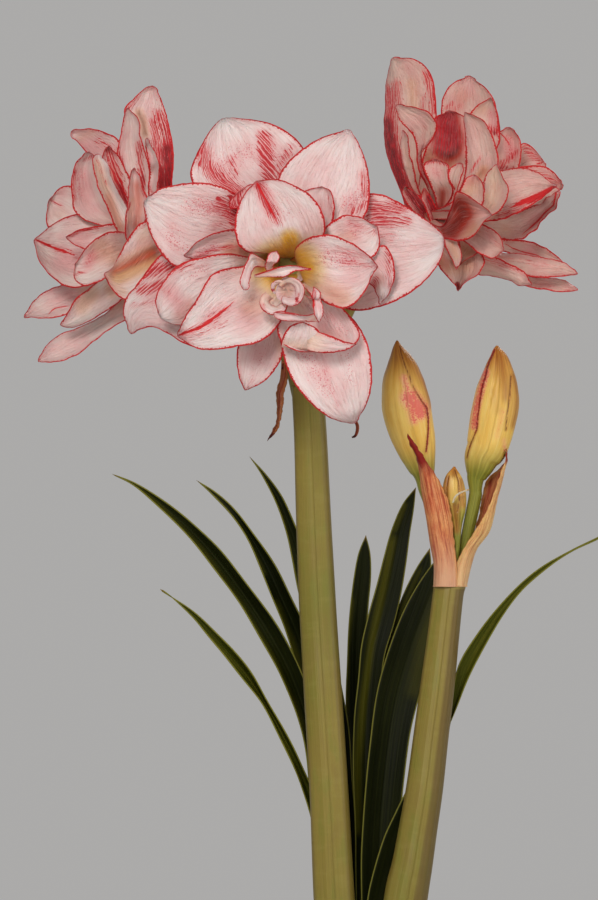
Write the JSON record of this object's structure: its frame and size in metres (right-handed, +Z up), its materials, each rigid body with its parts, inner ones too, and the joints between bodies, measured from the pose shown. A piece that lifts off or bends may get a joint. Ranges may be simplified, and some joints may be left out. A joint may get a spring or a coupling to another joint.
{
  "type": "potted amaryllis",
  "caption": "Potted double-flowered amaryllis: tapered clay pot with soil, half-buried bulb, strap leaves, an open flower head and a second stalk with buds.",
  "frame": {"origin": "centre of the pot's flat bottom, on the surface that the pot stands on", "axes": "+Z up along the pot's axis, front of the plant towards -Y, +X to the viewer's right"},
  "size_m": [0.3305, 0.2189, 0.7673],
  "materials": {
    "pot_clay": "matte unglazed",
    "potting_soil": "loose crumbly matte",
    "bulb_skin": "dry papery",
    "stalk_green": "smooth with a faint bloom",
    "leaf_green": "satin",
    "leaf_olive": "satin",
    "bud_ochre": "satin",
    "bract_papery": "dry papery",
    "bract_dried": "dry papery",
    "bracteole_pale": "matte",
    "petal": "velvety satin"
  },
  "bodies": {
    "root": {"bracteole": "bracteole_pale", "bud_left": "bud_ochre", "bud_right": "bud_ochre", "bud_small": "bud_ochre", "bulb": "bulb_skin", "dried_bract_left": "bract_dried", "dried_bract_right": "bract_dried", "front_inner_tepals": "petal", "front_petaloids": "petal", "front_tepal_bottom": "petal", "front_tepal_bottom_left": "petal", "front_tepal_inner_bottom": "petal", "front_tepal_inner_left": "petal", "front_tepal_inner_left_low": "petal", "front_tepal_inner_right": "petal", "front_tepal_inner_top": "petal", "front_tepal_left": "petal", "front_tepal_left_low": "petal", "front_tepal_right": "petal", "front_tepal_right_fold": "petal", "front_tepal_top_left": "petal", "front_tepal_top_right": "petal", "leaf_1": "leaf_green", "leaf_10": "leaf_green", "leaf_2": "leaf_green", "leaf_3": "leaf_green", "leaf_4": "leaf_olive", "leaf_5": "leaf_green", "leaf_6": "leaf_green", "leaf_7": "leaf_green", "leaf_8": "leaf_green", "leaf_9": "leaf_olive", "left_inner_tepals": "petal", "left_tepal_back": "petal", "left_tepal_bottom": "petal", "left_tepal_inner_up_left": "petal", "left_tepal_left": "petal", "left_tepal_low_1": "petal", "left_tepal_low_2": "petal", "left_tepal_near": "petal", "left_tepal_top": "petal", "left_tepal_up_left": "petal", "pot": "pot_clay", "right_inner_tepals": "petal", "right_tepal_bottom": "petal", "right_tepal_inner_top": "petal", "right_tepal_low_1": "petal", "right_tepal_low_inner": "petal", "right_tepal_right": "petal", "right_tepal_top": "petal", "right_tepals_low": "petal", "right_tepals_outer": "petal", "right_tepals_upper": "petal", "scape_budding": "stalk_green", "scape_flowering": "stalk_green", "soil": "potting_soil", "spathe_left": "bract_papery", "spathe_right": "bract_papery"}
  },
  "joints": []
}
